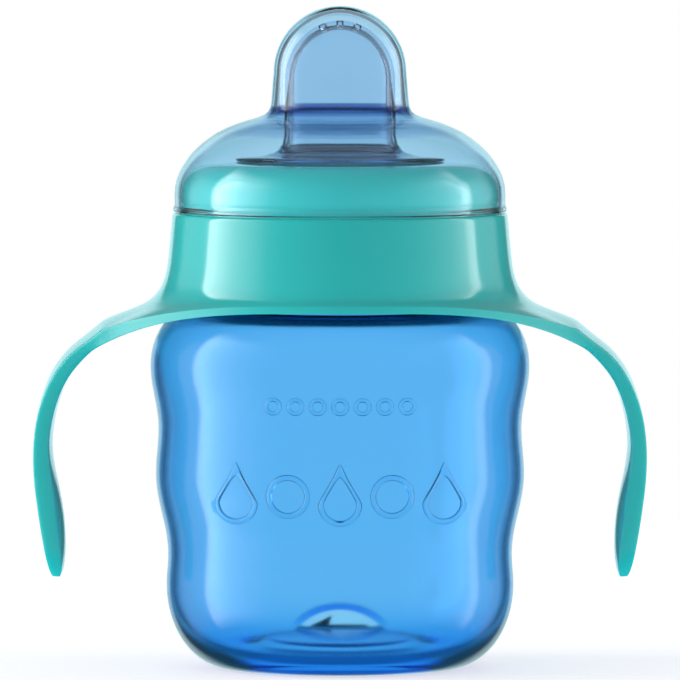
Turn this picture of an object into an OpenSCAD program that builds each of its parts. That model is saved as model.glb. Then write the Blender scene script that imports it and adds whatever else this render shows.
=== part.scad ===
// Trainer cup: a waisted cup with a screw neck, a handle ring, a screw ring that clamps a soft
// valved spout on the neck, and a clear hygiene cap.
// Millimetres. The origin is the centre of the base on the resting plane, +Z is up, the handles
// lie along X and the front is at -Y.

/* [Cup] */
// Outer radius at the widest part of the shoulder
cup_r = 36; // [35.5:0.1:36.5]
// Height of the neck rim above the resting plane
rim_z = 91.6; // [91.2:0.1:92]
// Wall thickness of the cup
cup_wall = 1.6; // [1.2:0.1:1.8]
// Outer radius of the neck
neck_r = 26.6; // [26.3:0.1:26.8]

/* [Thread] */
// Rise of the lid in one turn
pitch = 5; // [4.5:0.5:5.5]
// Turns of each thread
thread_turns = 0.9; // [0.7:0.1:1]
// How far the thread on the neck stands out
thread_depth = 1.1; // [0.9:0.1:1.2]

/* [Handles] */
// Half of the strap's depth where it leaves the collar
strap_root = 9.5; // [8.5:0.5:10.5]
// Half of the strap's depth at its tip
strap_tip = 5.5; // [4.5:0.5:6.5]
// Inner radius of the collar
collar_bore = 30.7; // [30.6:0.05:30.8]
// Height of the collar's top edge
collar_top = 86.6; // [86:0.1:87]

/* [Spout] */
// Height of the spout's tip
spout_top = 123; // [122:0.5:123.5]
// Half of the mouthpiece's width
blade_w = 10.5; // [10:0.1:11]
// Wall thickness of the spout
spout_wall = 1.4; // [1.2:0.1:1.6]

/* [Cap] */
// Height of the cap's top
cap_top = 125.8; // [125.6:0.1:126.5]
// Wall thickness of the cap
cap_wall = 1.1; // [1:0.1:1.2]
// Half of the spout cover's width at its foot
cover_w = 13; // [12.9:0.1:13.2]

/* [Hidden] */
$fn = 128;
eps = 0.01;

// Cup outline: bulges and waists as [height, radius], each with a level tangent
WALL = [[15.8, 33], [21.6, 32.7], [37, 35], [45.6, 34.5], [57.5, cup_r]];
foot_r = 21;          // outer edge of the flat ring that the cup rests on
foot_w = 1.5;         // width of that ring
shoulder_r = 27;      // where the shoulder arc meets the neck
shoulder_h = 11.6;    // height of the shoulder arc
floor_rise = 2.4;     // push-up of the base
floor_t = 3;          // thickness at the foot
notch_r = 9.3;        // arched notch at the rear of the foot
notch_y = 24;

// Neck and thread
neck_t = 1.8;
thread_z = 78.6;      // lower end of the neck's thread, on its centre line
lid_thread_z = 76.1;  // lower end of the lid's thread
thread_gap = 0.3;

// Screw ring
skirt_z = 70.9;
skirt_in = 28.2;
skirt_out = 30.3;
plate_z = 93.2;       // underside of the top plate
hole_r = 18;
lip_r = 19.95;        // edge of the spout's disc
plate_top = 95.6;
bead_z = 78;          // snap bead that holds the handle ring
snap_z = 88.3;        // groove for the cap's bead

// Valve
valve_r = 16.1;
valve_z = 90.2;

function mix(a, b, t) = a + (b - a) * t;
function ease(t) = (1 - cos(180 * t)) / 2;
function wall_part(z, i = 0) =
    z <= WALL[i + 1][0] || i == len(WALL) - 2 ? i : wall_part(z, i + 1);
function wall_at(z) = let (i = wall_part(z), a = WALL[i], b = WALL[i + 1])
    mix(a[1], b[1], ease((z - a[0]) / (b[0] - a[0])));

// Smooth curve through a short list of points
function knot(p, i) = p[max(0, min(len(p) - 1, i))];
function smooth(p, steps = 6) = [
    for (i = [0 : len(p) - 2], k = [0 : steps - 1]) let (
        t = k / steps, a = knot(p, i - 1), b = p[i], c = p[i + 1], d = knot(p, i + 2))
        (2 * b + (c - a) * t + (2 * a - 5 * b + 4 * c - d) * t * t
            + (3 * b - a - 3 * c + d) * t * t * t) / 2,
    p[len(p) - 1]];

function reversed(p) = [for (i = [len(p) - 1 : -1 : 0]) p[i]];

// Half outline of the cup, moved inwards by t: foot arc, waisted wall and shoulder arc
function cup_side(t, foot_t) = let (
        low = WALL[0], high = WALL[len(WALL) - 1],
        foot = [for (a = [0 : 10 : 80]) [
            foot_r + (low[1] - t - foot_r) * sin(a), low[0] - (low[0] - foot_t) * cos(a)]],
        side = [for (z = [low[0] : 1.9 : high[0] - 1]) [wall_at(z) - t, z]],
        top = [for (a = [0 : 9 : 81]) [
            shoulder_r - t + (high[1] - shoulder_r) * cos(a),
            high[0] + (shoulder_h - t) * sin(a)]])
    concat(foot, side, top);

module cup_outer() {
    push_up = [for (i = [0 : 6])
        [mix(13, foot_r - foot_w, i / 6), floor_rise * (1 - ease(i / 6))]];
    polygon(concat([[0, floor_rise]], push_up, cup_side(0, 0),
        [[neck_r, WALL[4][0] + shoulder_h], [neck_r, rim_z - 0.4], [neck_r - 0.4, rim_z],
         [0, rim_z]]));
}

module cup_inner() {
    rise = [for (i = [0 : 6]) [mix(14, foot_r, i / 6), floor_t + 1.2 * (1 - ease(i / 6))]];
    neck_in = neck_r - neck_t;
    polygon(concat([[0, floor_t + 1.2]], rise, cup_side(cup_wall, floor_t),
        [[neck_in, WALL[4][0] + shoulder_h - cup_wall + 0.6], [neck_in, rim_z + 1],
         [0, rim_z + 1]]));
}

// Arched tunnel along Y at the rear of the foot
module notch(r) {
    translate([0, notch_y, -1]) rotate([-90, 0, 0]) cylinder(r = r, h = 20);
}

// Helical rib with a trapezoid section; side is 1 for a thread on a neck, -1 for one in a skirt
module thread(r, z, depth, side) {
    steps = 48;
    count = round(steps * thread_turns);
    root = 0.3;
    section = [[-root, -1], [depth, -0.45], [depth, 0.45], [-root, 1]];
    rows = [for (i = [0 : count]) let (
            grow = min(1, i / 3, (count - i) / 3), a = 360 * i / steps)
        [for (s = section) let (
                out = s[0] < 0 ? s[0] : mix(0.02 - root, s[0], grow), rr = r + side * out)
            [rr * cos(a), rr * sin(a), z + pitch * i / steps + s[1]]]];
    quad = side > 0 ? [3, 2, 1, 0] : [0, 1, 2, 3];
    skins = [for (i = [0 : count - 1], k = [0 : 3]) let (
            a = 4 * i + quad[k], b = 4 * i + quad[(k + 1) % 4])
        each [[a, a + 4, b + 4], [a, b + 4, b]]];
    ends = [
        [quad[0], quad[1], quad[2]], [quad[0], quad[2], quad[3]],
        [4 * count + quad[2], 4 * count + quad[1], 4 * count + quad[0]],
        [4 * count + quad[3], 4 * count + quad[2], 4 * count + quad[0]]];
    polyhedron([for (row = rows, p = row) p], concat(skins, ends), convexity = 8);
}

module cup_body() {
    color([0.18, 0.52, 0.88]) {
        difference() {
            union() {
                difference() {
                    rotate_extrude() cup_outer();
                    rotate_extrude() cup_inner();
                }
                intersection() {
                    rotate_extrude() cup_outer();
                    notch(notch_r + cup_wall);
                }
            }
            notch(notch_r);
        }
        thread(neck_r, thread_z, thread_depth, 1);
    }
}

// One handle: its outline seen from the front, with a depth that narrows towards the tip
module handle() {
    outer = smooth([[28, 77], [32.7, 75.8], [33.6, 73], [37, 69.6], [43.7, 66.5], [49.9, 61.9],
                    [55.3, 54], [57.9, 45], [58.2, 38], [57.3, 29.5], [56.2, 22.5],
                    [55.6, 19.2]], 4);
    inner = smooth([[28, 70], [31.2, 68.6], [38.6, 64.7], [43.7, 62.4], [49.1, 58.3],
                    [52.9, 52.3], [54.5, 45.5], [54.3, 39.5], [52.9, 33], [52.1, 27],
                    [52.1, 22], [52.3, 19.2]], 4);
    tip = [for (a = [15 : 30 : 165]) [53.95 + 1.65 * cos(a), 19.2 - 1.8 * sin(a)]];
    difference() {
        intersection() {
            rotate([90, 0, 0]) translate([0, 0, -12]) linear_extrude(24)
                polygon(concat(outer, tip, reversed(inner)));
            rotate([90, 0, 90]) linear_extrude(70)
                polygon([[-strap_tip, 10], [strap_tip, 10], [strap_root, 64], [strap_root, 90],
                         [-strap_root, 90], [-strap_root, 64]]);
            rotate_extrude() polygon(concat([[0, 77]], outer, [[55.6, 10], [0, 10]]));
        }
        translate([0, 0, 60]) cylinder(r = collar_bore + 0.4, h = 30);
    }
}

module handle_ring() {
    low = 68.9;
    top = collar_top;
    color([0.19, 0.68, 0.67]) {
        rotate_extrude() polygon([
            [29, low + 0.5], [29.3, low], [33.2, low], [33.6, low + 0.6], [32.9, 74.5],
            [32.8, 77], [32.3, 81.3], [31.9, top - 0.6], [31.6, top - 0.1], [31.3, top],
            [collar_bore, top], [collar_bore, bead_z + 1], [collar_bore + 0.5, bead_z + 0.5],
            [collar_bore + 0.5, bead_z - 0.5], [collar_bore, bead_z - 1],
            [collar_bore, low + 1.4], [29, low + 1.4]]);
        for (turn = [0, 180]) rotate([0, 0, turn]) handle();
    }
}

module screw_ring() {
    corner = [for (a = [0 : 15 : 90]) [24.4 + 5.8 * cos(a), 89.4 + 5.8 * sin(a)]];
    inner_corner = [for (a = [0 : 30 : 90]) [26.4 + 1.8 * cos(a), 91.4 + 1.8 * sin(a)]];
    color([0.25, 0.71, 0.71]) {
        rotate_extrude() polygon(concat(
            [[skirt_in, skirt_z], [skirt_out, skirt_z], [skirt_out, bead_z - 0.9],
             [skirt_out + 0.6, bead_z - 0.3], [skirt_out + 0.6, bead_z + 0.3],
             [skirt_out, bead_z + 0.9], [skirt_out, collar_top],
             [30.2, snap_z - 0.5], [29.9, snap_z - 0.2], [29.9, snap_z + 0.2],
             [30.2, snap_z + 0.5]],
            corner,
            [[lip_r, plate_top], [hole_r, plate_top], [hole_r, plate_z]],
            reversed(inner_corner)));
        thread(skirt_in, lid_thread_z, skirt_in - neck_r - thread_gap, -1);
    }
}

// Outline of a rounded tongue, w wide each side below z, closing to a round top
function tongue(w_low, w, low, z, top) = concat(
    [[-w_low, low], [w_low, low], [w, z]],
    [for (a = [10 : 10 : 170]) [w * cos(a), z + (top - z) * sin(a)]],
    [[-w, z]]);

// Flattened tube of the spout and of its cover: front outline, side outline and rounded plan
module tongue_solid(w, d, low, z, top, round_r) {
    intersection() {
        rotate([90, 0, 0]) translate([0, 0, -d - 1]) linear_extrude(2 * d + 2)
            polygon(tongue(w, w * 0.985, low, z, top));
        rotate([90, 0, 90]) translate([0, 0, -w - 1]) linear_extrude(2 * w + 2)
            polygon(tongue(d, d * 0.56, low, top - 5, top + 0.4));
        translate([0, 0, low]) linear_extrude(top - low) union() {
            square([2 * w + 1, 2 * (d - round_r)], center = true);
            square([2 * (w - round_r), 2 * d], center = true);
            for (x = [-1, 1], y = [-1, 1])
                translate([x * (w - round_r), y * (d - round_r)]) circle(r = round_r);
        }
    }
}

module spout() {
    bend = spout_top - 11.5;
    color([0.82, 0.9, 0.95]) difference() {
        union() {
            rotate_extrude() polygon([
                [0, rim_z], [26.2, rim_z], [26.2, plate_z], [hole_r - 0.1, plate_z],
                [hole_r - 0.1, plate_top], [lip_r - 0.2, plate_top], [lip_r, plate_top + 0.5],
                [lip_r - 0.4, plate_top + 0.9], [14.5, 97.4], [11.5, 98.6], [0, 98.6]]);
            tongue_solid(blade_w, 6.4, 97, bend, spout_top, 5.9);
        }
        rotate_extrude() polygon([
            [0, rim_z - 1], [valve_r + 0.05, rim_z - 1], [valve_r + 0.05, 95.2], [13.5, 96.2],
            [0, 96.2]]);
        tongue_solid(blade_w - spout_wall, 6.4 - spout_wall, 95, bend, spout_top - spout_wall,
            4.6);
        for (x = [-3, 0, 3]) translate([x, 0, spout_top - 8]) cylinder(d = 1.3, h = 10);
    }
}

module valve_body() {
    color("white") difference() {
        union() {
            translate([0, 0, valve_z]) cylinder(r = 18.6, h = 1.3);
            translate([0, 0, valve_z]) cylinder(r = valve_r, h = 4.6);
        }
        translate([0, 0, valve_z + 1.3]) cylinder(r = valve_r - 1.4, h = 5);
        translate([0, 0, valve_z - 1]) cylinder(r = 6.5, h = 4);
        translate([11.2, 0, valve_z - 1]) cylinder(r = 1.2, h = 4);
    }
    color("white") difference() {
        translate([0, 0, valve_z + 1]) cylinder(r = 10, h = 2);
        translate([0, 0, valve_z]) cylinder(r = 9, h = 4);
    }
}

module valve_membrane() {
    base = valve_z + 1.35;
    color([0.85, 0.87, 0.9]) difference() {
        rotate_extrude() polygon([
            [0, base - 0.1], [6, base - 0.1], [6.4, base], [8.9, base], [8.9, base + 1.1],
            [6.4, base + 1.1], [5, base + 0.9], [0, base + 0.9]]);
        cube([6, 0.25, 20 * base], center = true);
        cube([0.25, 6, 20 * base], center = true);
    }
}

module hygiene_cap() {
    low = collar_top + 0.15;
    dome = smooth([[31.4, 89], [31.25, 91.8], [29.9, 95.4], [26.4, 99.6], [21.1, 103],
                   [16, 104.7], [12, 105.2]], 5);
    inside = smooth([[30.5, 89], [30.3, 91.6], [28.9, 95], [25.6, 98.8], [20.5, 101.9],
                     [15.5, 103.5], [12, 104]], 5);
    color([0.6, 0.76, 0.9]) difference() {
        union() {
            rotate_extrude() polygon(concat([[0, low], [31.4, low], [31.7, low + 0.3],
                [31.7, low + 0.9], [31.4, low + 1.2]], dome, [[0, 105.2]]));
            tongue_solid(cover_w, 9, 103, cap_top - 12.8, cap_top, 8.2);
        }
        rotate_extrude() polygon(concat([[0, low - 1], [30.55, low - 1], [30.55, snap_z - 0.3],
            [30.3, snap_z], [30.55, snap_z + 0.3]], inside, [[0, 104]]));
        tongue_solid(cover_w - cap_wall, 9 - cap_wall, 101, cap_top - 12.8,
            cap_top - cap_wall, 7.1);
    }
}

cup_body();
handle_ring();
screw_ring();
spout();
valve_body();
valve_membrane();
hygiene_cap();
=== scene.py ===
import math

import bmesh
import bpy
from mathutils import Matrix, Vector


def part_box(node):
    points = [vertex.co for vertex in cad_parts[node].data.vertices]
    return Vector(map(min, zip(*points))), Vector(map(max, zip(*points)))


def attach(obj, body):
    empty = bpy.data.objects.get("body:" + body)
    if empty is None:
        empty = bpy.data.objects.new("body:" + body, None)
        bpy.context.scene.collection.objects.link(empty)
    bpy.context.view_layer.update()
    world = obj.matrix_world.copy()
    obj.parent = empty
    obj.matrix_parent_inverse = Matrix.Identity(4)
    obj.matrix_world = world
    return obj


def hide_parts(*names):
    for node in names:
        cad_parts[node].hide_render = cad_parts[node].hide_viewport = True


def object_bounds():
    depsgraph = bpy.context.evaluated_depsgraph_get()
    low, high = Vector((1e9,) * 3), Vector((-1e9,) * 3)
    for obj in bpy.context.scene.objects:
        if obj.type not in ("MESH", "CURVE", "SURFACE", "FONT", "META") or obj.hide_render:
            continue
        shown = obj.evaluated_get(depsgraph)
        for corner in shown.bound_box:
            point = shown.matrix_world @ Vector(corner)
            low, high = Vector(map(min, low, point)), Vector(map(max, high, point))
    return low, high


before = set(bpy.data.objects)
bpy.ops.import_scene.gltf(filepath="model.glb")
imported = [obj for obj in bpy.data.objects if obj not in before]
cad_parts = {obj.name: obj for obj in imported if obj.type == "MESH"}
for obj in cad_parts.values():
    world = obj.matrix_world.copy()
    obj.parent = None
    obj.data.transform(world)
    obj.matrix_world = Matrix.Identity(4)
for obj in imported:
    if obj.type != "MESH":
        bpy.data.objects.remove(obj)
cad_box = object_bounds()


# --- Cup ---------------------------------------------------------------------------------
# The cup is one blow-moulded piece of clear blue polypropylene: a waisted wall, a pushed-up
# base with an arched notch behind, and a neck with one turn of thread. Its front carries a
# raised pattern of drops and beads. Everything else stands on it.
mm = 0.001
cup_low, cup_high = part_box("cup_body")
RIM = cup_high.z / mm
WIDEST = cup_high.x / mm
WAISTS = [(15.8, WIDEST - 3), (21.6, WIDEST - 3.3), (37, WIDEST - 1), (45.6, WIDEST - 1.5),
          (57.5, WIDEST)]
FOOT = 21
SHOULDER = (27, 11.6)
NECK = 26.6
WALL = 1.6


def ease(t):
    return (1 - math.cos(math.pi * t)) / 2


def wall_radius(z):
    """Outer radius of the cup between its lowest bulge and its shoulder."""
    for (z0, r0), (z1, r1) in zip(WAISTS, WAISTS[1:]):
        if z <= z1:
            return r0 + (r1 - r0) * ease((z - z0) / (z1 - z0))
    return WAISTS[-1][1]


def arc(centre, size, start, end, steps):
    """Points on an ellipse in the plane of radius and height, angles in degrees."""
    turns = [math.radians(start + (end - start) * i / steps) for i in range(steps + 1)]
    return [(centre[0] + size[0] * math.cos(a), centre[1] + size[1] * math.sin(a))
            for a in turns]


def cup_side(inset, foot):
    """Half outline of the cup from its foot to its neck, moved inwards by inset."""
    low, high = WAISTS[0], WAISTS[-1]
    rise = arc((FOOT, low[0]), (low[1] - inset - FOOT, low[0] - foot), -90, -6, 17)
    steps = 56
    side = [(wall_radius(z) - inset, z)
            for z in (low[0] + (high[0] - low[0]) * i / steps for i in range(steps + 1))]
    top = arc((SHOULDER[0], high[0]), (high[1] - SHOULDER[0] - inset, SHOULDER[1] - inset),
              5, 86, 16)
    return rise + side + top


def push_up(low, high, edge=13):
    """The base's push-up, from its centre out to the flat ring of the foot."""
    ring = FOOT - 1.5
    return [(r, high) for r in (0.5, 4, 8, 11)] + [
        (edge + (ring - edge) * i / 8, high + (low - high) * ease(i / 8)) for i in range(9)
    ] + [(FOOT - 0.7, low)]


def drawn_up(name, rings, sides=128, closed=False, first=0):
    """Draws a piece up ring by ring: a circle is extruded and resized to each (half width,
    half depth, height, squareness), in mm. Squareness above 2 fills out an ellipse's corners."""
    bpy.ops.object.select_all(action="DESELECT")
    width, depth, height, _ = rings[0]
    bpy.ops.mesh.primitive_circle_add(vertices=sides, radius=mm, location=(0, 0, height * mm),
                                      rotation=(0, 0, math.radians(first)))
    piece = bpy.context.object
    piece.name = name
    bpy.ops.object.transform_apply(location=True, rotation=True)
    bpy.ops.object.mode_set(mode="EDIT")
    bpy.ops.mesh.select_all(action="SELECT")
    bpy.ops.transform.resize(value=(width, depth, 1), center_override=(0, 0, height * mm))
    for (w0, d0, z0, _), (w1, d1, z1, _) in zip(rings, rings[1:]):
        bpy.ops.mesh.extrude_edges_move(
            TRANSFORM_OT_translate={"value": (0, 0, (z1 - z0) * mm)})
        bpy.ops.transform.resize(value=(w1 / w0, d1 / d0, 1), center_override=(0, 0, z1 * mm))
    bpy.ops.object.mode_set(mode="OBJECT")
    for index, corner in enumerate(piece.data.vertices):
        w, d, _, square = rings[index // sides]
        if square > 2:
            x, y = corner.co.x / w / mm, corner.co.y / d / mm
            corner.co.x = math.copysign(abs(x) ** (2 / square), x) * w * mm
            corner.co.y = math.copysign(abs(y) ** (2 / square), y) * d * mm
    bpy.ops.object.mode_set(mode="EDIT")
    bpy.ops.mesh.select_all(action="SELECT")
    if closed:
        bpy.ops.mesh.remove_doubles(threshold=1e-6)
    else:
        bpy.ops.mesh.fill_holes(sides=0)
        bpy.ops.mesh.select_all(action="DESELECT")
        bpy.ops.mesh.select_face_by_sides(number=4, type="GREATER")
        bpy.ops.mesh.poke()
    bpy.ops.mesh.select_all(action="SELECT")
    bpy.ops.mesh.normals_make_consistent(inside=False)
    bpy.ops.object.mode_set(mode="OBJECT")
    return piece


def turned(name, outline, sides=128, closed=False, first=0):
    """Draws up a round piece from its outline of (radius, height) points."""
    return drawn_up(name, [(r, r, z, 2) for r, z in outline], sides, closed, first)


def combine(piece, other, operation):
    """Adds a second solid to a piece, or cuts it out, and removes the second one."""
    bpy.ops.object.select_all(action="DESELECT")
    piece.select_set(True)
    bpy.context.view_layer.objects.active = piece
    cut = piece.modifiers.new(operation, "BOOLEAN")
    cut.operation = operation
    cut.object = other
    cut.solver = "EXACT"
    bpy.ops.object.modifier_apply(modifier=cut.name)
    bpy.data.objects.remove(other)
    bpy.ops.object.mode_set(mode="EDIT")
    bpy.ops.mesh.select_all(action="SELECT")
    bpy.ops.mesh.remove_doubles(threshold=3e-6)
    bpy.ops.mesh.dissolve_degenerate(threshold=3e-6)
    bpy.ops.object.mode_set(mode="OBJECT")


def finish(piece, body, node, material, angle=35):
    """Smooths a finished piece, gives it its material and lets it stand for a CAD node."""
    bpy.ops.object.select_all(action="DESELECT")
    piece.select_set(True)
    bpy.context.view_layer.objects.active = piece
    bpy.ops.object.shade_smooth_by_angle(angle=math.radians(angle))
    piece.data.materials.clear()
    piece.data.materials.append(material)
    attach(piece, body)
    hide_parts(node)


def thread(radius, height, depth, pitch=5, turns=0.9, side=1):
    """A helical rib: one small face, extruded and turned step by step."""
    bpy.ops.object.select_all(action="DESELECT")
    steps = 72
    count = int(steps * turns)
    bpy.ops.mesh.primitive_plane_add(size=2 * mm, rotation=(math.radians(90), 0, 0),
                                     location=((radius + side * (depth - 0.3) / 2) * mm, 0,
                                               height * mm))
    rib = bpy.context.object
    bpy.ops.transform.resize(value=((depth + 0.3) / 2, 1, 1))
    bpy.ops.object.transform_apply()
    for corner in rib.data.vertices:
        if side * (corner.co.x / mm - radius) > 0:
            corner.co.z = height * mm + (corner.co.z - height * mm) * 0.45
    bpy.ops.object.mode_set(mode="EDIT")
    bpy.ops.mesh.select_all(action="SELECT")
    for step in range(count):
        bpy.ops.mesh.extrude_region_move(
            TRANSFORM_OT_translate={"value": (0, 0, pitch / steps * mm)})
        bpy.ops.transform.rotate(value=-math.radians(360 / steps), orient_axis="Z",
                                 center_override=(0, 0, 0))
    bpy.ops.mesh.select_all(action="SELECT")
    bpy.ops.mesh.normals_make_consistent(inside=False)
    bpy.ops.object.mode_set(mode="OBJECT")
    return rib


def raised_ring(x, z, radius, bead, point=0):
    """A raised outline on the front of the cup: a bubble, or a drop when point is over 0."""
    bpy.ops.object.select_all(action="DESELECT")
    bpy.ops.mesh.primitive_torus_add(major_segments=56, minor_segments=10,
                                     major_radius=radius * mm, minor_radius=bead * mm,
                                     rotation=(math.radians(90), 0, 0))
    ring = bpy.context.object
    bpy.ops.object.transform_apply()
    for corner in ring.data.vertices:
        up = max(0, corner.co.z / mm / radius)
        across = corner.co.x / mm * (1 - point * 0.62 * up ** 1.4)
        height = z + corner.co.z / mm + point * radius * 0.75 * up ** 2
        out = math.sqrt(wall_radius(height) ** 2 - (x + across) ** 2)
        corner.co = ((x + across) * mm, corner.co.y - (out - 0.05) * mm, height * mm)
    return ring


neck_top = [(NECK, RIM - 0.5), (NECK - 0.15, RIM - 0.15), (NECK - 0.5, RIM),
            (NECK - 1.3, RIM), (NECK - 1.65, RIM - 0.15), (NECK - 1.8, RIM - 0.5)]
outside = push_up(0, 2.4) + cup_side(0, 0)
inside = push_up(3, 4.2) + cup_side(WALL, 3)
cup = turned("cup", outside + [(NECK, 70.2)] + [(NECK, z) for z in (72, 76, 82, 88)]
             + neck_top + [(NECK - 1.8, z) for z in (88, 82, 76, 70)] + inside[::-1])

# The notch is pushed in from behind, so the wall keeps its thickness round it.
for operation, radius, length in (("UNION", 9.3 + WALL, 6.2), ("DIFFERENCE", 9.3, 20)):
    bpy.ops.object.select_all(action="DESELECT")
    bpy.ops.mesh.primitive_cylinder_add(vertices=96, radius=radius * mm, depth=length * mm,
                                        location=(0, (24 + length / 2) * mm, -1 * mm),
                                        rotation=(math.radians(90), 0, 0))
    arch = bpy.context.object
    bpy.ops.object.transform_apply()
    if operation == "UNION":
        keep = turned("keep", outside[:-8] + [(20, 66)])
        combine(arch, keep, "INTERSECT")
    combine(cup, arch, operation)
combine(cup, thread(NECK, 78.6, 1.1), "UNION")
for column in range(5):
    drop = column % 2 == 0
    combine(cup, raised_ring((column - 2) * 9.8, 33.2 if drop else 34.6, 3.6, 0.55,
                             1 if drop else 0), "UNION")
for column in range(7):
    combine(cup, raised_ring((column - 3) * 4.2 + 0.03, 51.53, 1.3, 0.38), "UNION")


def material_start(name):
    """A new material: its node tree, its surface shader and its object coordinates."""
    material = bpy.data.materials.new(name)
    material.use_nodes = True
    nodes = material.node_tree.nodes
    place = nodes.new("ShaderNodeTexCoord")
    return material, nodes, material.node_tree.links, nodes["Principled BSDF"], place


def uneven(nodes, links, place, shader, socket, scale, low, high, detail=4):
    """Lets a noise of that scale, per metre, move a value of the shader between two limits."""
    noise = nodes.new("ShaderNodeTexNoise")
    noise.inputs["Scale"].default_value = scale
    noise.inputs["Detail"].default_value = detail
    spread = nodes.new("ShaderNodeMapRange")
    spread.inputs["To Min"].default_value = low
    spread.inputs["To Max"].default_value = high
    links.new(place.outputs["Object"], noise.inputs["Vector"])
    links.new(noise.outputs["Fac"], spread.inputs["Value"])
    links.new(spread.outputs["Result"], shader.inputs[socket])
    return noise


def ripple(nodes, links, place, shader, scale, height, strength=1.0):
    """Gives the surface the faint waviness that a moulded skin has."""
    noise = nodes.new("ShaderNodeTexNoise")
    noise.inputs["Scale"].default_value = scale
    noise.inputs["Detail"].default_value = 2
    bump = nodes.new("ShaderNodeBump")
    bump.inputs["Distance"].default_value = height
    bump.inputs["Strength"].default_value = strength
    links.new(place.outputs["Object"], noise.inputs["Vector"])
    links.new(noise.outputs["Fac"], bump.inputs["Height"])
    links.new(bump.outputs["Normal"], shader.inputs["Normal"])


def clear_plastic(name, colour, depth_colour, density, rough, ior=1.45):
    """A clear tinted plastic: its skin passes light, and its thickness darkens it."""
    material, nodes, links, shader, place = material_start(name)
    shader.inputs["Base Color"].default_value = (*colour, 1)
    shader.inputs["Transmission Weight"].default_value = 1
    shader.inputs["IOR"].default_value = ior
    uneven(nodes, links, place, shader, "Roughness", 90, rough * 0.7, rough * 1.3)
    ripple(nodes, links, place, shader, 60, 0.00004)
    inside = nodes.new("ShaderNodeVolumeAbsorption")
    inside.inputs["Color"].default_value = (*depth_colour, 1)
    inside.inputs["Density"].default_value = density
    links.new(inside.outputs["Volume"], nodes["Material Output"].inputs["Volume"])
    return material


cup_blue = clear_plastic("clear_blue_plastic", (0.76, 0.885, 0.99), (0.02, 0.67, 0.975), 410,
                         0.09, 1.38)
finish(cup, "cup", "cup_body", cup_blue)


# --- Handle ring -------------------------------------------------------------------------
# The collar and its two handles are one moulding of sea-green polypropylene. The collar's
# lower edge spreads into a thin flange, which runs out at both sides as the handle straps.
# A groove inside the collar snaps over the screw ring's bead.
ring_low, ring_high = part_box("handle_ring")
COLLAR_TOP = ring_high.z / mm
SIDES = 72
STRAP_COLUMNS = {2.5: 0.3, 7.5: 0.92, 12.5: 1.0}
STRAP_START = 45
STRAP_HALF = 11.2
# Rows of the collar's outline: radius, height, and for the rows that spread into the flange
# how far out they lie between the wall and the flange's edge, with their part of the height.
wall_rows = [(31.3, COLLAR_TOP), (31.62, COLLAR_TOP - 0.08), (31.85, COLLAR_TOP - 0.4),
             (31.95, COLLAR_TOP - 1.1), (32.15, 83.2), (32.45, 80), (32.7, 77.5)]
flange_rows = [(0.0, 1.0), (0.025, 0.85), (0.1, 0.62), (0.29, 0.38), (0.55, 0.24),
               (0.85, 0.08), (0.97, 0.012)]
edge_rows = [(1.0, 0.0), (1.0, -0.14), (1.0, -0.86), (1.0, -1.0)]
under_rows = [(0.97, -1.0), (0.8, -1.0), (0.5, -1.0), (0.2, -1.0)]
bore_rows = [(29.3, 68.95), (29.05, 69.2), (29.05, 70.1), (29.3, 70.35), (30.5, 70.4),
             (30.7, 70.6), (30.7, 73), (30.7, 76.7), (30.75, 77.1), (31.2, 77.5), (31.2, 78.5),
             (30.75, 78.9), (30.7, 79.3), (30.7, 82), (30.7, 85), (30.72, COLLAR_TOP - 0.3),
             (30.9, COLLAR_TOP - 0.06), (31.3, COLLAR_TOP)]


def flange_edge(angle):
    """Where the flange's edge lies in plan, for a column at that angle from the X axis: along
    the strap's end, then on one long curve to the front of the collar."""
    if angle <= 12.5:
        return STRAP_START, STRAP_HALF * STRAP_COLUMNS[angle]
    t = (angle - 12.5) / 77.5
    a, b, c, d = (1 - t) ** 3, 3 * t * (1 - t) ** 2, 3 * t * t * (1 - t), t ** 3
    x = a * STRAP_START + b * 39.5 + c * 21
    y = a * STRAP_HALF + b * 13.6 + (c + d) * 33.7
    grow = max(1, 33.7 / math.hypot(x, y))
    return x * grow, y * grow


def flange_point(angle, out, level):
    """A point of the flange in mm: out runs from the wall to the edge, and level is the part
    of the height over the edge, or of the edge's own thickness when it is below 0."""
    x, y = flange_edge(angle)
    side = math.cos(math.radians(angle))
    reach = (x / STRAP_START) ** 3.2
    line = 70.3 - 5.4 * reach
    under = 68.85 - 6.95 * (x / STRAP_START) ** 3.6
    crown = 1.4 * (1 - STRAP_COLUMNS[angle] ** 2) if angle <= 12.5 else 0
    wall_x, wall_y = (32.85 * math.cos(math.radians(angle)),
                      32.85 * math.sin(math.radians(angle)))
    if level > -1:
        start = 72 + 4.4 * side ** 2
        top = line + crown * min(1, out * 1.2)
        z = top + (start - top) * level if level >= 0 else top + (top - under) * level
    else:
        z = under if out > 0.99 else 68.9 + (under - 68.9) * out ** 1.25
    bore = 31.0 if level <= -1 else None
    if bore:
        wall_x, wall_y = (bore * math.cos(math.radians(angle)),
                          bore * math.sin(math.radians(angle)))
    return wall_x + (x - wall_x) * out, wall_y + (y - wall_y) * out, z


spread = flange_rows + edge_rows + under_rows
marker = [(33 + 0.1 * i, 60 - i) for i in range(len(spread))]
ring = turned("collar_and_handles", wall_rows + marker + bore_rows, SIDES, closed=True, first=2.5)
for corner in ring.data.vertices:
    row = round(60 - corner.co.z / mm)
    if corner.co.z / mm > 60.5 or row < 0:
        continue
    x, y = corner.co.x, corner.co.y
    angle = round(math.degrees(math.atan2(abs(y), abs(x))) * 2) / 2
    px, py, pz = flange_point(angle, *spread[row])
    corner.co = (math.copysign(px, x) * mm, math.copysign(py, y) * mm, pz * mm)

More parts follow.
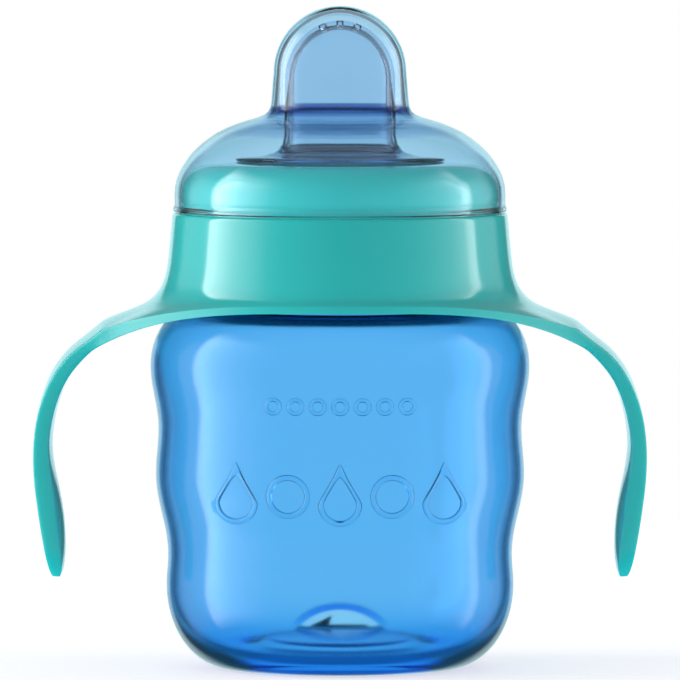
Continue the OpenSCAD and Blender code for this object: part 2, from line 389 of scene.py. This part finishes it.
# Stations down a strap: outer and inner face as seen from the front, half of its depth, and
# how far each face is crowned.
stations = [
    ((48.4, 63.4), (46.8, 60.8), 10.1, 1.2, 0.1), ((51.6, 61.1), (48.9, 58.7), 9.35, 1.1, 0.1),
    ((54.2, 57.8), (51.1, 56.0), 8.8, 0.9, 0.2), ((56.0, 54.1), (52.6, 53.0), 8.35, 0.6, 0.3),
    ((57.2, 50.1), (53.6, 49.6), 8.0, 0.3, 0.5), ((57.95, 46.3), (54.3, 46.2), 7.7, 0.15, 0.6),
    ((58.3, 42.2), (54.6, 42.5), 7.4, 0.1, 0.8), ((58.3, 38.2), (54.1, 38.4), 7.0, 0.1, 1.0),
    ((58.0, 34.2), (53.1, 34.4), 6.7, 0.1, 1.5), ((57.5, 30.6), (52.4, 30.8), 6.4, 0.1, 1.8),
    ((57.0, 27.0), (51.95, 27.1), 6.1, 0.1, 1.95), ((56.4, 23.6), (51.9, 23.6), 5.8, 0.1, 1.5),
    ((55.9, 20.9), (52.1, 20.7), 5.3, 0.1, 0.9), ((55.3, 18.7), (52.5, 18.5), 4.4, 0.1, 0.4),
    ((54.7, 17.5), (53.1, 17.4), 3.0, 0.05, 0.1)]
bpy.context.view_layer.objects.active = ring
bpy.ops.object.mode_set(mode="EDIT")
bpy.ops.mesh.select_mode(type="FACE")
for side in (1, -1):
    mesh = bmesh.from_edit_mesh(ring.data)
    across = mesh.verts.layers.float.get("across") or mesh.verts.layers.float.new("across")
    through = mesh.verts.layers.float.get("through") or mesh.verts.layers.float.new("through")
    bpy.ops.mesh.select_all(action="DESELECT")
    for face in mesh.faces:
        middle = face.calc_center_median() / mm
        end = all(abs(v.co.x * side / mm - STRAP_START) < 0.01 for v in face.verts)
        if end and abs(middle.y) < STRAP_HALF:
            face.select = True
    for face in [f for f in mesh.faces if f.select]:
        for corner in face.verts:
            u = corner.co.y / mm / STRAP_HALF
            top = 64.9 + 1.4 * (1 - u * u)
            corner[across] = u
            corner[through] = 1 - 2 * (top - corner.co.z / mm) / (top - 61.9)
    bmesh.update_edit_mesh(ring.data)
    for outer, inner, half, crown_out, crown_in in stations:
        bpy.ops.mesh.extrude_region_move()
        mesh = bmesh.from_edit_mesh(ring.data)
        across = mesh.verts.layers.float["across"]
        through = mesh.verts.layers.float["through"]
        span = math.hypot(outer[0] - inner[0], outer[1] - inner[1])
        for corner in (v for v in mesh.verts if v.select):
            u, v = corner[across], corner[through]
            bulge = 1 - u * u
            low = crown_in * (1 - bulge) / span
            high = 1 - crown_out * (1 - bulge) / span
            t = low + (high - low) * (v + 1) / 2
            full = u * (half - 0.5 * v * v) if abs(u) > 0.97 else u * half
            corner.co = (side * (inner[0] + (outer[0] - inner[0]) * t) * mm, full * mm,
                         (inner[1] + (outer[1] - inner[1]) * t) * mm)
        bmesh.update_edit_mesh(ring.data)
bpy.ops.mesh.select_all(action="SELECT")
bpy.ops.mesh.normals_make_consistent(inside=False)
bpy.ops.object.mode_set(mode="OBJECT")
soften = ring.modifiers.new("soften", "SUBSURF")
soften.levels = soften.render_levels = 2
bpy.context.view_layer.objects.active = ring
bpy.ops.object.modifier_apply(modifier=soften.name)


def solid_plastic(name, colour, rough, glow=0.0, glow_radius=(0.4, 1.0, 1.0)):
    """An opaque glossy plastic that lets a little light in under its skin."""
    material, nodes, links, shader, place = material_start(name)
    noise = nodes.new("ShaderNodeTexNoise")
    noise.inputs["Scale"].default_value = 35
    noise.inputs["Detail"].default_value = 3
    tint = nodes.new("ShaderNodeMix")
    tint.data_type = "RGBA"
    tint.inputs[6].default_value = (*(c * 0.96 for c in colour), 1)
    tint.inputs[7].default_value = (*(min(1, c * 1.04) for c in colour), 1)
    links.new(place.outputs["Object"], noise.inputs["Vector"])
    links.new(noise.outputs["Fac"], tint.inputs[0])
    links.new(tint.outputs[2], shader.inputs["Base Color"])
    shader.inputs["IOR"].default_value = 1.49
    shader.inputs["Coat Weight"].default_value = 1
    shader.inputs["Coat Roughness"].default_value = 0.04
    shader.inputs["Subsurface Weight"].default_value = glow
    shader.inputs["Subsurface Radius"].default_value = glow_radius
    shader.inputs["Subsurface Scale"].default_value = 0.002
    uneven(nodes, links, place, shader, "Roughness", 120, rough * 0.75, rough * 1.25)
    ripple(nodes, links, place, shader, 70, 0.00003)
    return material


green = solid_plastic("green_plastic", (0.016, 0.65, 0.635), 0.16, 0.5)
finish(ring, "handles", "handle_ring", green)


# --- Screw ring --------------------------------------------------------------------------
# A domed ring of sea-green polypropylene, its green painted lighter than the collar's to make up
# for the shade under the clear cap.
# It clamps the spout's flange on the neck rim. A thread runs inside its skirt, and a bead outside
# it holds the collar.
screw_low, screw_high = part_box("screw_ring")
SKIRT_IN, SKIRT_OUT = 28.2, 30.3
PLATE_UNDER = 93.2
HOLE = 18
skirt = [(SKIRT_IN + 0.3, 70.9), (SKIRT_OUT - 0.4, 70.9), (SKIRT_OUT, 71.3),
         (SKIRT_OUT, 74), (SKIRT_OUT, 77.1), (SKIRT_OUT + 0.4, 77.5), (SKIRT_OUT + 0.6, 77.8),
         (SKIRT_OUT + 0.6, 78.2), (SKIRT_OUT + 0.4, 78.5), (SKIRT_OUT, 78.9),
         (SKIRT_OUT, 82), (SKIRT_OUT, 86.5), (30.25, 87.75), (30.0, 88.1), (29.95, 88.3),
         (30.0, 88.5), (30.2, 88.85)]
dome = arc((25.0, 90.0), (5.15, 5.9), 2, 86, 20)
plate = [(24, 96.02), (22, 96.22), (20.5, 96.36), (19.6, 96.4), (18.4, 96.4),
         (HOLE + 0.1, 96.3), (HOLE, 96.1), (HOLE, 94.8), (HOLE, 93.5), (HOLE + 0.1, 93.28),
         (HOLE + 0.3, PLATE_UNDER), (22, PLATE_UNDER)]
within = arc((26.4, 91.4), (1.8, 1.8), 88, 2, 8) + [
    (SKIRT_IN, 89), (SKIRT_IN, 84), (SKIRT_IN, 78), (SKIRT_IN, 71.3), (SKIRT_IN + 0.1, 71.0),
    (SKIRT_IN + 0.3, 70.9)]
screw_ring = turned("dome_ring", skirt + dome + plate + within, 144, closed=True)
combine(screw_ring, thread(SKIRT_IN, 76.1, 1.3, side=-1), "UNION")
# Painted lighter than the collar's green, to make up for the shade under the clear cap.
dome_green_painted_lighter = solid_plastic("clear_green_plastic", (0.05, 0.86, 0.82), 0.18, 0.4)
finish(screw_ring, "lid", "screw_ring", dome_green_painted_lighter)


# --- Spout -------------------------------------------------------------------------------
# One moulding of clear silicone: a flattened mouthpiece on a disc, a groove that grips the
# screw ring's hole, and a flange below that seals on the neck rim. Three holes pierce its tip.
spout_low, spout_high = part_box("spout")
SPOUT_TOP = spout_high.z / mm
SPOUT_WALL = 1.35


def round_top(width, depth, height, top, square, steps=16):
    """Rings that close a mouthpiece in a round top, from its bend upwards."""
    turns = [math.radians(90 * step / steps) for step in range(1, steps)]
    return [(width * math.cos(a), depth * math.cos(a) ** 0.6,
             height + (top - height) * math.sin(a), square) for a in turns] + [
        (width * 0.03, depth * 0.06, top - 0.01, square)]


def round_rings(outline):
    return [(r, r, z, 2) for r, z in outline]


disc = [(26.0, 91.6), (26.2, 91.8), (26.2, 93.0), (26.0, 93.15), (22, 93.15), (18.1, 93.15),
        (17.95, 93.3), (17.9, 94.8), (17.95, 96.3), (18.3, 96.46), (19.4, 96.46),
        (19.8, 96.58), (19.95, 96.83), (19.85, 97.08), (19.5, 97.24), (17.6, 97.4),
        (15.4, 97.6)]
mouthpiece = [(13.9, 13.2, 97.85, 2), (12.7, 11.2, 98.2, 2.1), (11.7, 9.2, 98.8, 2.3),
              (11.0, 7.7, 99.8, 2.5), (10.7, 6.9, 101.2, 2.7), (10.6, 6.4, 103.2, 2.8),
              (10.55, 5.8, 106, 2.8), (10.5, 5.2, 109, 2.8), (10.45, 4.7, 111.6, 2.8)]
outer_top = round_top(10.45, 4.7, 111.6, SPOUT_TOP, 2.8)
inner_top = round_top(10.45 - SPOUT_WALL, 4.7 - SPOUT_WALL, 111.6, SPOUT_TOP - SPOUT_WALL, 2.8)
passage = [(w - SPOUT_WALL, d - SPOUT_WALL, z, n) for w, d, z, n in mouthpiece[3:]]
chamber = [(16.3, 91.6), (16.15, 91.7), (16.15, 93), (16.15, 94.4), (15.7, 95.0),
           (14.2, 95.6), (12.4, 96.3)]
spout = drawn_up("soft_spout", inner_top[::-1] + passage[::-1] + [(10.4, 8.3, 97.4, 2.3)]
                 + round_rings(chamber[::-1] + [(20.5, 91.6)] + disc) + mouthpiece + outer_top,
                 112)
for x in (-3, 0, 3):
    bpy.ops.object.select_all(action="DESELECT")
    bpy.ops.mesh.primitive_cylinder_add(vertices=24, radius=0.65 * mm, depth=6 * mm,
                                        location=(x * mm, 0, (SPOUT_TOP - 1) * mm))
    hole = bpy.context.object
    bpy.ops.object.transform_apply()
    combine(spout, hole, "DIFFERENCE")
silicone = clear_plastic("clear_silicone", (0.93, 0.965, 1.0), (0.35, 0.66, 0.97), 85, 0.1,
                         1.41)
finish(spout, "lid", "spout", silicone)


# --- Valve -------------------------------------------------------------------------------
# A stiff white carrier is pressed into the spout from below. It has an air hole, and a seat
# for a slit silicone disc that opens only when the child sucks.
seat_low, seat_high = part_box("valve_body")
SEAT = seat_low.z / mm
carrier_outline = [
    (6.5, SEAT + 0.15), (6.65, SEAT), (12, SEAT), (18.4, SEAT), (18.6, SEAT + 0.2),
    (18.6, SEAT + 1.1), (18.4, SEAT + 1.3), (16.1, SEAT + 1.3), (16.1, SEAT + 3),
    (16.1, SEAT + 4.3), (15.8, SEAT + 4.6), (15.0, SEAT + 4.6), (14.7, SEAT + 4.3),
    (14.7, SEAT + 2.5), (14.7, SEAT + 1.5), (14.5, SEAT + 1.3), (12, SEAT + 1.3),
    (10.2, SEAT + 1.3), (10.0, SEAT + 1.5), (10.0, SEAT + 2.8), (9.85, SEAT + 3),
    (9.15, SEAT + 3), (9.0, SEAT + 2.8), (9.0, SEAT + 1.5), (8.9, SEAT + 1.3),
    (6.65, SEAT + 1.3), (6.5, SEAT + 1.15), (6.5, SEAT + 0.15)]
carrier = turned("valve_carrier", carrier_outline, 96, closed=True)
bpy.ops.object.select_all(action="DESELECT")
bpy.ops.mesh.primitive_cylinder_add(vertices=32, radius=1.2 * mm, depth=4 * mm,
                                    location=(12.3 * mm, 0, SEAT * mm))
air_hole = bpy.context.object
bpy.ops.object.transform_apply()
combine(carrier, air_hole, "DIFFERENCE")
white = solid_plastic("white_plastic", (0.84, 0.86, 0.88), 0.25, 0.2, (1.0, 1.0, 1.0))
finish(carrier, "lid", "valve_body", white)

base = SEAT + 1.35
membrane = turned("valve_disc", [
    (0.4, base - 0.05), (3, base - 0.08), (5.8, base - 0.08), (6.3, base), (8.7, base),
    (8.85, base + 0.15), (8.85, base + 0.9), (8.7, base + 1.05), (6.6, base + 1.05),
    (5.4, base + 0.85), (3, base + 0.8), (0.4, base + 0.8)], 96)
for turn in (0, 90):
    bpy.ops.object.select_all(action="DESELECT")
    bpy.ops.mesh.primitive_cube_add(size=1, location=(0, 0, base * mm),
                                    rotation=(0, 0, math.radians(turn)),
                                    scale=(6 * mm, 0.2 * mm, 6 * mm))
    slit = bpy.context.object
    bpy.ops.object.transform_apply()
    combine(membrane, slit, "DIFFERENCE")
frosted = clear_plastic("valve_silicone", (0.9, 0.93, 0.96), (0.7, 0.8, 0.9), 60, 0.45, 1.41)
finish(membrane, "lid", "valve_membrane", frosted)


# --- Hygiene cap -------------------------------------------------------------------------
# A clear pale blue polypropylene moulding: a dome that presses on over the screw ring and
# stands on the collar, and a flattened cover that follows the mouthpiece inside it.
cap_low, cap_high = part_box("hygiene_cap")
CAP_LOW, CAP_TOP = cap_low.z / mm, cap_high.z / mm
CAP_WALL = 1.1
rim = [(31.25, CAP_LOW), (31.55, CAP_LOW + 0.08), (31.7, CAP_LOW + 0.35),
       (31.65, CAP_LOW + 0.8), (31.45, CAP_LOW + 1.1), (31.4, CAP_LOW + 1.6),
       (31.42, 90.0), (31.3, 91.6), (31.0, 92.9), (30.6, 94.0), (30.05, 95.1), (29.35, 96.2),
       (28.5, 97.4), (27.5, 98.5), (26.3, 99.6), (25.0, 100.6), (23.4, 101.7), (21.6, 102.6)]
cover = [(19.6, 19.3, 103.4, 2), (17.6, 16.6, 104.05, 2.05), (15.8, 14.0, 104.55, 2.1),
         (14.4, 11.9, 105.1, 2.2), (13.6, 10.6, 105.8, 2.3), (13.2, 9.9, 106.6, 2.4),
         (13.05, 9.5, 107.8, 2.5), (12.9, 9.0, 109.6, 2.6), (12.75, 8.4, 111.6, 2.7),
         (12.6, 7.9, 113.2, 2.7)]
cap_rings = round_rings(rim) + cover + round_top(12.6, 7.9, 113.2, CAP_TOP, 2.6)
cap = drawn_up("clear_cap", cap_rings, 128)
bpy.ops.object.mode_set(mode="EDIT")
bpy.ops.mesh.select_mode(type="FACE")
bpy.ops.mesh.select_all(action="DESELECT")
bpy.ops.object.mode_set(mode="OBJECT")
for face in cap.data.polygons:
    face.select = face.center.z < (CAP_LOW + 0.02) * mm
bpy.ops.object.mode_set(mode="EDIT")
bpy.ops.mesh.delete(type="FACE")
bpy.ops.mesh.select_mode(type="VERT")
bpy.ops.mesh.select_all(action="SELECT")
bpy.ops.mesh.delete_loose()
bpy.ops.object.mode_set(mode="OBJECT")
thicken = cap.modifiers.new("wall", "SOLIDIFY")
thicken.thickness = CAP_WALL * mm
thicken.offset = -1
thicken.use_even_offset = True
bpy.ops.object.modifier_apply(modifier=thicken.name)
cap_blue = clear_plastic("clear_cap_plastic", (1, 1, 1), (0.015, 0.61, 0.865), 90, 0.03)
nodes, links = cap_blue.node_tree.nodes, cap_blue.node_tree.links
height = nodes.new("ShaderNodeSeparateXYZ")
links.new(nodes["Texture Coordinate"].outputs["Object"], height.inputs[0])
level = nodes.new("ShaderNodeMapRange")
level.inputs["From Min"].default_value = 90 * mm
level.inputs["From Max"].default_value = 110 * mm
links.new(height.outputs["Z"], level.inputs["Value"])
# The cap's colour changes with height. It keeps its own pale blue over the dome and the top of
# the cover, and is painted paler over the skirt so the dome under it shows less shade. Over the
# cover's shoulder it carries painted shade, darkest in a near-navy band from 105.3 to 106.6 mm.
cap_tint_with_painted_shade = nodes.new("ShaderNodeValToRGB")
links.new(level.outputs["Result"], cap_tint_with_painted_shade.inputs["Fac"])
cap_tints_and_painted_shade = [(93.5, (0.88, 0.95, 1)), (97, (0.83, 0.89, 0.98)), (101.5, (0.83, 0.89, 0.98)),
         (103, (0.5, 0.66, 0.89)), (105.0, (0.5, 0.66, 0.89)), (105.3, (0.12, 0.22, 0.5)),
         (106.6, (0.12, 0.22, 0.5)), (107, (0.86, 0.9, 0.98))]
for z, tint in cap_tints_and_painted_shade[1:-1]:
    cap_tint_with_painted_shade.color_ramp.elements.new((z - 90) / 20)
for stop, (z, tint) in zip(cap_tint_with_painted_shade.color_ramp.elements, cap_tints_and_painted_shade):
    stop.position = (z - 90) / 20
    stop.color = (*tint, 1)
links.new(cap_tint_with_painted_shade.outputs["Color"], nodes["Principled BSDF"].inputs["Base Color"])
finish(cap, "cap", "hygiene_cap", cap_blue)


# Light reaches the dome through the clear cap almost unweakened.
cap.visible_diffuse = cap.visible_shadow = False


# --- Studio ------------------------------------------------------------------------------
# A pale floor in front of a white background. Broad soft lights stand left and right of the
# cup, with the brighter one on the left, and one hangs above.
bpy.ops.object.select_all(action="DESELECT")
bpy.ops.mesh.primitive_circle_add(vertices=96, radius=0.42, fill_type="NGON")
floor = bpy.context.object
floor.name = "floor"
paper = bpy.data.materials.new("paper")
paper.use_nodes = True
sheet = paper.node_tree.nodes["Principled BSDF"]
sheet.inputs["Base Color"].default_value = (0.86, 0.88, 0.92, 1)
sheet.inputs["Roughness"].default_value = 0.8
sheet.inputs["Specular IOR Level"].default_value = 0.1
sheet.inputs["Emission Color"].default_value = (1, 0.98, 1, 1)
sheet.inputs["Emission Strength"].default_value = 0.61
floor.visible_glossy = floor.visible_transmission = False
floor.data.materials.append(paper)

world = bpy.data.worlds.new("studio")
bpy.context.scene.world = world
world.use_nodes = True
nodes, links = world.node_tree.nodes, world.node_tree.links
nodes.clear()
direction = nodes.new("ShaderNodeTexCoord")
parts = nodes.new("ShaderNodeSeparateXYZ")
links.new(direction.outputs["Generated"], parts.inputs[0])


def maths(kind, first, second=None):
    """One arithmetic node of the backdrop, from sockets or numbers."""
    node = nodes.new("ShaderNodeMath")
    node.operation = kind
    for socket, value in zip(node.inputs, (first, second)):
        if isinstance(value, (int, float)):
            socket.default_value = value
        elif value is not None:
            links.new(value, socket)
    return node.outputs[0]


# Light round the cup: the angle from the camera's side in degrees, and its strength there.
LIGHTS = [(-180, 1.0), (-159, 1.0), (-154, 0.14), (-138, 0.14), (-130, 0.5), (-103, 0.7),
          (-100, 5.3), (-76, 2.3), (-50, 0.55), (-40, 0.35), (0, 0.25), (40, 0.35), (58, 0.55),
          (80, 1.0), (94, 1.7), (99, 3.2), (104, 3.4), (107, 0.7), (130, 0.5), (138, 0.14),
          (154, 0.14), (159, 1.0), (180, 1.0)]
UPPER = [(angle, 0.35 if abs(angle) > 102 else light) for angle, light in LIGHTS]
BEHIND = (0.66, 0.95, 1)
BELOW = (0.06, 0.27, 0.42)
ABOVE = (0.3, 0.3, 0.3)
BRIGHTEST = 8
around = maths("ARCTAN2", parts.outputs["X"], maths("MULTIPLY", parts.outputs["Y"], -1))
share = maths("ADD", maths("MULTIPLY", around, 0.5 / math.pi), 0.5)


def all_round(lights):
    """A band of light round the cup, from its angles and strengths."""
    ramp = nodes.new("ShaderNodeValToRGB")
    links.new(share, ramp.inputs["Fac"])
    strip = ramp.color_ramp.elements
    for angle, light in lights[1:-1]:
        strip.new((angle + 180) / 360)
    for stop, (angle, light) in zip(strip, lights):
        tone = BEHIND if abs(angle) > 135 else (1, 1, 1)
        stop.position = (angle + 180) / 360
        stop.color = (*(light * part / BRIGHTEST for part in tone), 1)
    return ramp.outputs["Color"]


def past(colour, other, start, end):
    """Goes over from one light to another between two angles above the horizon."""
    reach = nodes.new("ShaderNodeMapRange")
    reach.interpolation_type = "SMOOTHSTEP"
    reach.inputs["From Min"].default_value = math.sin(math.radians(start))
    reach.inputs["From Max"].default_value = math.sin(math.radians(end))
    links.new(parts.outputs["Z"], reach.inputs["Value"])
    over = nodes.new("ShaderNodeMix")
    over.data_type = "RGBA"
    links.new(reach.outputs["Result"], over.inputs[0])
    for socket, source in ((over.inputs[6], colour), (over.inputs[7], other)):
        if isinstance(source, tuple):
            socket.default_value = (*(part / BRIGHTEST for part in source), 1)
        else:
            links.new(source, socket)
    return over.outputs[2]


low_and_level = past(BELOW, all_round(LIGHTS), -34, -20)
all_lights = past(past(low_and_level, all_round(UPPER), 16, 26), ABOVE, 32, 46)
room = nodes.new("ShaderNodeBackground")
room.inputs["Strength"].default_value = BRIGHTEST
links.new(all_lights, room.inputs["Color"])
backdrop = nodes.new("ShaderNodeBackground")
backdrop.inputs["Color"].default_value = (1, 1, 1, 1)
seen = nodes.new("ShaderNodeLightPath")
choose = nodes.new("ShaderNodeMixShader")
links.new(seen.outputs["Is Camera Ray"], choose.inputs[0])
links.new(room.outputs[0], choose.inputs[1])
links.new(backdrop.outputs[0], choose.inputs[2])
links.new(choose.outputs[0], nodes.new("ShaderNodeOutputWorld").inputs["Surface"])

bpy.ops.object.select_all(action="DESELECT")
distance, rise, middle = 2.3, math.radians(3), (cad_box[0].z + cad_box[1].z) / 2 - 0.0006
bpy.ops.object.camera_add(
    location=(0, -distance * math.cos(rise), middle + distance * math.sin(rise)),
    rotation=(math.pi / 2 - rise, 0, 0))
camera = bpy.context.object
camera.data.sensor_width = 36
camera.data.lens = 18 / (0.0646 / distance)
bpy.context.scene.camera = camera
bpy.context.scene.view_settings.view_transform = "Standard"
